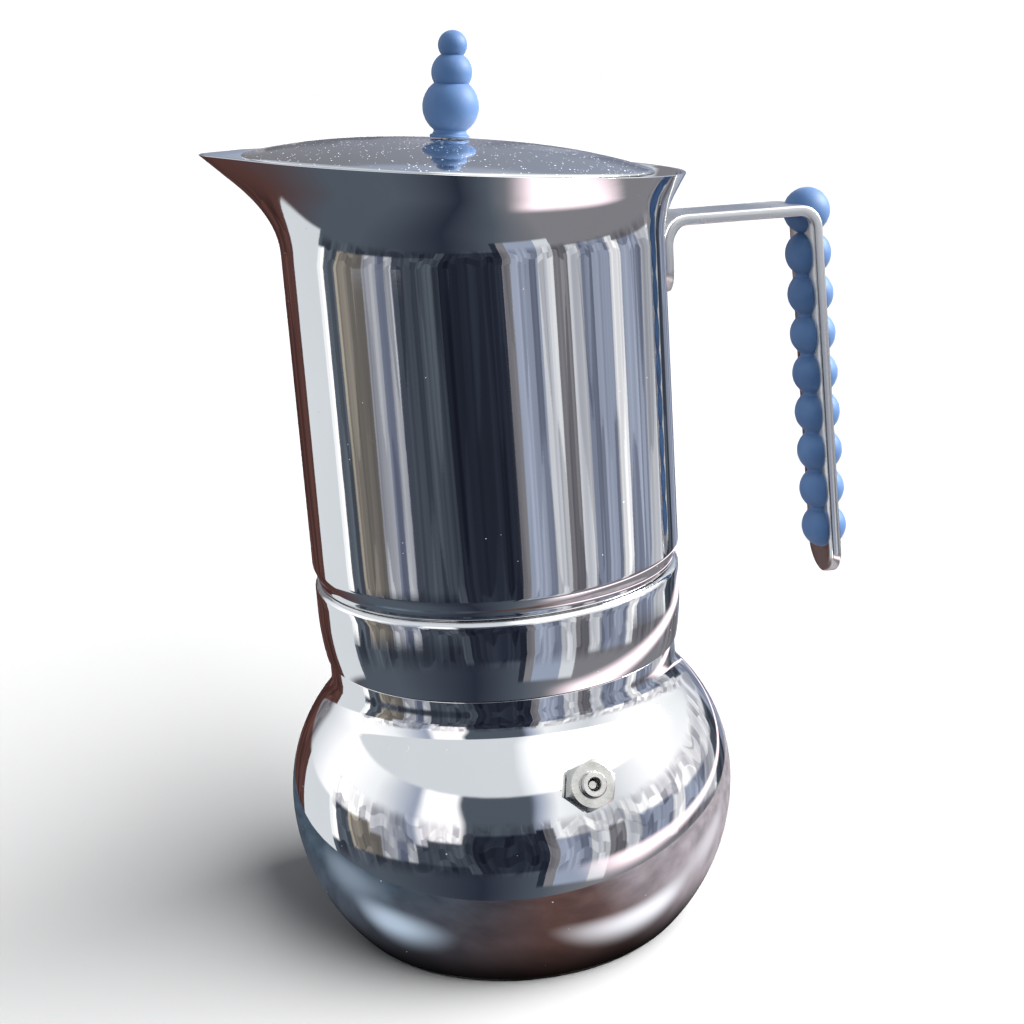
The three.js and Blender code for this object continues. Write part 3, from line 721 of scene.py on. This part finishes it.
# How high, in degrees, the bands meet in each direction.
FEET = [(-180, -20), (-130, -25), (-95, -35), (-55, -25), (-15, -20), (90, -30), (150, -20)]
TOPS = [(-180, -8), (-150, -4), (-130, 2), (-95, 4), (-85, -4), (-10, -6), (30, -3)]
CEILING = 28
BLUR = 1.2            # half the height over which two bands blend, in degrees
ROOM_GAIN = 1.18
SWAY = 0.03           # how far upright edges wander, as a share of a whole turn

# Three sizes of clutter: width and height in degrees, then how dark and how pale it gets.
CLUTTER = [(11.0, 15.0, 0.60, 1.16), (3.7, 7.1, 0.55, 1.30), (1.4, 19.0, 0.78, 1.12)]
ROW_SHIFT = 40.0      # how far neighbouring columns of clutter stand apart in height
CLUTTER_FOOT = (-30, -22)
CLUTTER_TOP = (4, 12)
BARE_FROM = (113.4, 117.0)    # a plain wall, where the clutter stops and starts again
BARE_TO = (151.9, 154.8)


def whole_turn(degrees):
    """An azimuth as a share of a whole turn, 0 at -180 degrees."""
    return (degrees + 180) / 360


def but_not(tree, value):
    """One less the value."""
    return math_node(tree, "SUBTRACT", 1.0, value)


def clutter_node(tree, azimuth, height):
    """Upright dark and pale blocks by direction, like crowded shelves; gives a colour."""
    degrees = math_node(tree, "MULTIPLY", azimuth, 360.0)
    line = tree.nodes.new("ShaderNodeCombineXYZ")
    tree.links.new(degrees, line.inputs["X"])
    step = noise_node(tree, line.outputs["Vector"], 0.06, 1.0)
    flat = tree.nodes.new("ShaderNodeCombineXYZ")
    tree.links.new(degrees, flat.inputs["X"])
    shift = math_node(tree, "MULTIPLY", step, ROW_SHIFT)
    tree.links.new(math_node(tree, "ADD", height, shift), flat.inputs["Y"])
    shade = None
    for width, tall, dark, pale in CLUTTER:
        blocks = tree.nodes.new("ShaderNodeTexBrick")
        blocks.offset = 0.37
        blocks.inputs["Color1"].default_value = (dark, dark, dark * 1.05, 1)
        blocks.inputs["Color2"].default_value = (pale, pale * 0.99, pale * 0.97, 1)
        blocks.inputs["Scale"].default_value = 1.0
        blocks.inputs["Mortar Size"].default_value = 0.0
        blocks.inputs["Brick Width"].default_value = width
        blocks.inputs["Row Height"].default_value = tall
        tree.links.new(flat.outputs["Vector"], blocks.inputs["Vector"])
        tone = blocks.outputs["Color"]
        shade = tone if shade is None else mix_node(tree, 1.0, shade, tone, "MULTIPLY")
    return shade


def band_node(tree, azimuth, height):
    """The room's four bands, one above the other; gives a colour."""
    bands = []
    for stops in (BAND_LOW, BAND_EYE, BAND_MIDDLE, BAND_HIGH):
        places = [(whole_turn(degrees), display(TONES[tone], ROOM_GAIN)) for degrees, tone in stops]
        blend = "CONSTANT" if stops is BAND_EYE else "LINEAR"
        bands.append(ramp_node(tree, azimuth, places, blend))
    colour = bands[0]
    for band, edges in zip(bands[1:], (FEET, TOPS, [(-180, CEILING)])):
        # A ramp holds 0 to 1, so a height of -50 to 50 degrees is stored as that.
        places = [(whole_turn(degrees), (0.5 + edge / 100,) * 3 + (1,)) for degrees, edge in edges]
        stored = tree.nodes.new("ShaderNodeSeparateColor")
        tree.links.new(ramp_node(tree, azimuth, places, "CONSTANT"), stored.inputs["Color"])
        centred = math_node(tree, "SUBTRACT", stored.outputs["Red"], 0.5)
        over = math_node(tree, "SUBTRACT", height, math_node(tree, "MULTIPLY", centred, 100))
        colour = mix_node(tree, between(tree, over, -BLUR, BLUR), colour, band)
    return colour


def clutter_level(tree, azimuth, height):
    """Where the clutter shows: below the shelf tops, and not on the bare wall."""
    level = math_node(tree, "MULTIPLY", between(tree, height, *CLUTTER_FOOT),
                      but_not(tree, between(tree, height, *CLUTTER_TOP)))
    bare = math_node(tree, "MULTIPLY", between(tree, azimuth, *map(whole_turn, BARE_FROM)),
                     but_not(tree, between(tree, azimuth, *map(whole_turn, BARE_TO))))
    return math_node(tree, "MULTIPLY", level, but_not(tree, bare))


def make_world():
    """A softly lit room of pale panels and dark furniture, by direction."""
    world = bpy.data.worlds.new("room")
    bpy.context.scene.world = world
    world.use_nodes = True
    tree = world.node_tree
    where = tree.nodes.new("ShaderNodeTexCoord").outputs["Generated"]
    split = tree.nodes.new("ShaderNodeSeparateXYZ")
    tree.links.new(where, split.inputs["Vector"])
    east, north, up = split.outputs
    drift = math_node(tree, "SUBTRACT", noise_node(tree, where, 2.0, 0.0), 0.5)
    sway = math_node(tree, "MULTIPLY", drift, SWAY)
    around = math_node(tree, "ADD", math_node(tree, "ARCTAN2", north, east), math.pi)
    azimuth = math_node(tree, "ADD", math_node(tree, "DIVIDE", around, 2 * math.pi), sway)
    height = math_node(tree, "MULTIPLY", math_node(tree, "ARCSINE", up), 180 / math.pi)
    colour = band_node(tree, azimuth, height)
    clutter = clutter_node(tree, azimuth, height)
    crowded = mix_node(tree, 1.0, colour, clutter, "MULTIPLY")
    colour = mix_node(tree, clutter_level(tree, azimuth, height), colour, crowded)
    tree.links.new(colour, tree.nodes["Background"].inputs["Color"])


def stage_piece(name, corners, faces, material, camera, glossy, diffuse):
    """A piece of the stage that only some kinds of ray meet, and that casts no shadow."""
    mesh = bpy.data.meshes.new(name)
    mesh.from_pydata(corners, [], faces)
    mesh.materials.append(material)
    piece = bpy.data.objects.new(name, mesh)
    bpy.context.scene.collection.objects.link(piece)
    piece.visible_camera = camera
    piece.visible_glossy = glossy
    piece.visible_diffuse = diffuse
    piece.visible_shadow = False
    return piece


def ring_of(radius, centre, height, sides=96):
    """Corners evenly round a level circle."""
    angles = [2 * math.pi * i / sides for i in range(sides)]
    return [(centre[0] + radius * math.cos(angle), centre[1] + radius * math.sin(angle), height)
            for angle in angles]


def mirrored_disc(name, radius, centre, height, material, diffuse):
    """A level disc that the steel mirrors and the camera doesn't see."""
    corners = ring_of(radius, centre, height)
    return stage_piece(name, corners, [range(len(corners))], material, False, True, diffuse)


def emitter(name, colour, strength):
    """A material that only glows; gives the material and its emission node."""
    material = bpy.data.materials.new(name)
    material.use_nodes = True
    tree = material.node_tree
    tree.nodes.clear()
    glow = tree.nodes.new("ShaderNodeEmission")
    glow.inputs["Color"].default_value = (*colour, 1)
    glow.inputs["Strength"].default_value = strength
    out = tree.nodes.new("ShaderNodeOutputMaterial")
    tree.links.new(glow.outputs["Emission"], out.inputs["Surface"])
    return material, glow


# The table top's tones from left to right: share of the way across, then display colour. The middle
# tones are the wood's own reddish brown; the bluish grey on the left and the pale grey on the right
# are painted window sheen.
TABLE_TONES_AND_PAINTED_SHEEN = [(0.05, (78, 92, 106)), (0.30, (76, 74, 80)), (0.48, (96, 74, 70)),
                (0.62, (112, 92, 90)), (0.76, (168, 160, 166)), (0.95, (190, 184, 190))]
# Painted highlights of window sheen on it, in metres and degrees: place, half size, turn, display
# colour.
PAINTED_SHEENS = [((-0.055, -0.030), (0.030, 0.013), -45, (190, 208, 228)),
          ((-0.090, -0.005), (0.045, 0.025), -60, (136, 150, 166)),
          ((0.030, -0.050), (0.040, 0.010), 20, (290, 290, 298)),
          ((0.080, -0.020), (0.050, 0.015), 45, (240, 234, 242))]
CONTACT_SHADOW_RADII = (0.041, 0.062)      # the painted contact shadow, a dark ring under the belly, fades out between these radii


def table_material():
    """A glowing table top, as the steel mirrors it: dark varnished wood with painted window sheen and
    a painted contact shadow on it.
    """
    # Painted light: the table glows instead of being lit, so all its colour stands in for light and
    # shade.
    material, glow = emitter("table", (1, 1, 1), 1.0)
    tree = material.node_tree
    where = tree.nodes.new("ShaderNodeTexCoord").outputs["Object"]
    split = tree.nodes.new("ShaderNodeSeparateXYZ")
    tree.links.new(where, split.inputs["Vector"])
    across = between(tree, split.outputs["X"], -0.12, 0.12)
    # Painted light: the tones across the table paint window sheen on its left and right sides.
    colour = ramp_node(tree, across, [(place, display(tone)) for place, tone in TABLE_TONES_AND_PAINTED_SHEEN])
    grain = noise_node(tree, where, 46.0, 6.0, (1, 1.6, 1))
    tone = ramp_node(tree, grain, [(0.30, (0.74, 0.72, 0.72, 1)), (0.70, (1.25, 1.22, 1.22, 1))])
    colour = mix_node(tree, 1.0, colour, tone, "MULTIPLY")
    # Painted highlights: each sheen patch is blended into the table's colour.
    for place, size, turn, sheen in PAINTED_SHEENS:
        patch = soft_patch(tree, where, place, size, turn)
        colour = mix_node(tree, patch, colour, display(sheen))
    # Painted shadow: the table's colour darkens to near black under the belly's foot.
    outward = tree.nodes.new("ShaderNodeVectorMath")
    outward.operation = "LENGTH"
    tree.links.new(where, outward.inputs[0])
    shadow = between(tree, outward.outputs["Value"], *CONTACT_SHADOW_RADII)
    colour = mix_node(tree, shadow, display((14, 14, 14)), colour)
    tree.links.new(colour, glow.inputs["Color"])
    return material


def soft_patch(tree, where, place, size, turn):
    """An oval spot that fades outwards, for a painted sheen highlight; gives its strength."""
    mapping = tree.nodes.new("ShaderNodeMapping")
    mapping.vector_type = "TEXTURE"
    mapping.inputs["Location"].default_value = (*place, 0)
    mapping.inputs["Rotation"].default_value = (0, 0, math.radians(turn))
    mapping.inputs["Scale"].default_value = (*size, 1)
    tree.links.new(where, mapping.inputs["Vector"])
    spread = tree.nodes.new("ShaderNodeVectorMath")
    spread.operation = "LENGTH"
    tree.links.new(mapping.outputs["Vector"], spread.inputs[0])
    return but_not(tree, between(tree, spread.outputs["Value"], 0.1, 1.0))


def painted_sheen_arc_material():
    """A painted highlight: a soft glowing arc on the floor to the right, for a table edge catching
    window light, which the flare mirrors; clear elsewhere.
    """
    material, glow = emitter("far_sheen", display((340, 312, 320))[:3], 1.0)
    tree = material.node_tree
    where = tree.nodes.new("ShaderNodeTexCoord").outputs["Object"]
    split = tree.nodes.new("ShaderNodeSeparateXYZ")
    tree.links.new(where, split.inputs["Vector"])
    centre = tree.nodes.new("ShaderNodeVectorMath")
    centre.operation = "DISTANCE"
    centre.inputs[1].default_value = (0.010, 0.095, -0.0012)
    tree.links.new(where, centre.inputs[0])
    reach = centre.outputs["Value"]
    band = math_node(tree, "MULTIPLY", between(tree, reach, 0.186, 0.206),
                     but_not(tree, between(tree, reach, 0.212, 0.240)))
    right_side = between(tree, split.outputs["X"], 0.012, 0.075)
    strength = math_node(tree, "MULTIPLY", band, right_side)
    clear = tree.nodes.new("ShaderNodeBsdfTransparent")
    blend = tree.nodes.new("ShaderNodeMixShader")
    tree.links.new(strength, blend.inputs["Fac"])
    tree.links.new(clear.outputs["BSDF"], blend.inputs[1])
    tree.links.new(glow.outputs["Emission"], blend.inputs[2])
    out = tree.nodes["Material Output"]
    tree.links.new(blend.outputs["Shader"], out.inputs["Surface"])
    return material


def make_backdrop(radius):
    """A closed white wall all round and overhead, which only the camera sees."""
    white, _ = emitter("backdrop", (1, 1, 1), 1.1)
    sides = 48
    foot = ring_of(radius, (0.0, 0.0), -1.0, sides)
    head = ring_of(radius, (0.0, 0.0), 20.0, sides)
    faces = [(i, (i + 1) % sides, sides + (i + 1) % sides, sides + i) for i in range(sides)]
    faces.append(range(sides, 2 * sides))
    stage_piece("backdrop", foot + head, faces, white, True, False, False)


def make_stage():
    """The white floor and backdrop that are seen, and the round table top that is mirrored."""
    far = 6.0
    corners = [(-far, -far, 0), (far, -far, 0), (far, far, 0), (-far, far, 0)]
    floor = stage_piece("floor", corners, [range(4)], matt("floor", 0.16), True, False, False)
    make_backdrop(far)
    mirrored_disc("table", 0.130, (0.012, 0.038), -0.0004, table_material(), True)
    # A painted highlight: a glowing arc that only the steel mirrors.
    mirrored_disc("far_sheen", 0.30, (0.0, 0.0), -0.0012, painted_sheen_arc_material(), False)
    return floor


def make_lights(floor):
    """A soft window light on the pot, and a broad one that only whitens the floor."""
    data = bpy.data.lights.new("window", "AREA")
    data.shape = "RECTANGLE"
    data.size = 0.5
    data.size_y = 0.5
    data.energy = 30.0
    light = bpy.data.objects.new("window", data)
    bpy.context.scene.collection.objects.link(light)
    light.location = (0.95, -0.12, 0.70)
    aim = Vector((0.0, 0.0, 0.12)) - light.location
    light.rotation_euler = aim.to_track_quat("-Z", "Y").to_euler()

    only_floor = bpy.data.collections.new("only_floor")
    only_floor.objects.link(floor)
    all_but_floor = bpy.data.collections.new("all_but_floor")
    all_but_floor.objects.link(floor)
    all_but_floor.collection_objects[0].light_linking.link_state = "EXCLUDE"
    light.light_linking.receiver_collection = all_but_floor
    data = bpy.data.lights.new("floor_wash", "SUN")
    data.energy = 38.0
    data.angle = math.radians(85)
    wash = bpy.data.objects.new("floor_wash", data)
    bpy.context.scene.collection.objects.link(wash)
    source = Vector((0.75, -0.55, 0.50))
    wash.rotation_euler = (-source).to_track_quat("-Z", "Y").to_euler()
    wash.visible_glossy = False
    wash.light_linking.receiver_collection = only_floor


def make_camera():
    """Heading is from +X towards +Y, tilt is upwards, roll is about the line of sight."""
    camera = bpy.data.objects.new("camera", bpy.data.cameras.new("camera"))
    bpy.context.scene.collection.objects.link(camera)
    heading, tilt, roll = (math.radians(CAMERA[name]) for name in ("heading", "tilt", "roll"))
    turn = Matrix.Rotation(heading - math.pi / 2, 4, "Z") @ Matrix.Rotation(math.pi / 2 + tilt, 4, "X")
    turn = turn @ Matrix.Rotation(roll, 4, "Z")
    camera.matrix_world = Matrix.Translation(Vector(CAMERA["place"]) * MM) @ turn
    camera.data.sensor_width = 36.0
    camera.data.lens = CAMERA["lens"]
    camera.data.clip_start = 0.01
    bpy.context.scene.camera = camera


make_camera()
make_boiler()
make_valve()
make_jug()
make_collar()
make_strap()
make_grip_half("grip_beads_outer", 1, "grip_outer")
make_grip_half("grip_beads_inner", -1, "grip_inner")
make_corner_ball()
make_lid()
make_knob()
dress_inner_pieces()
make_world()
make_lights(make_stage())
bpy.context.scene.view_settings.view_transform = "Standard"
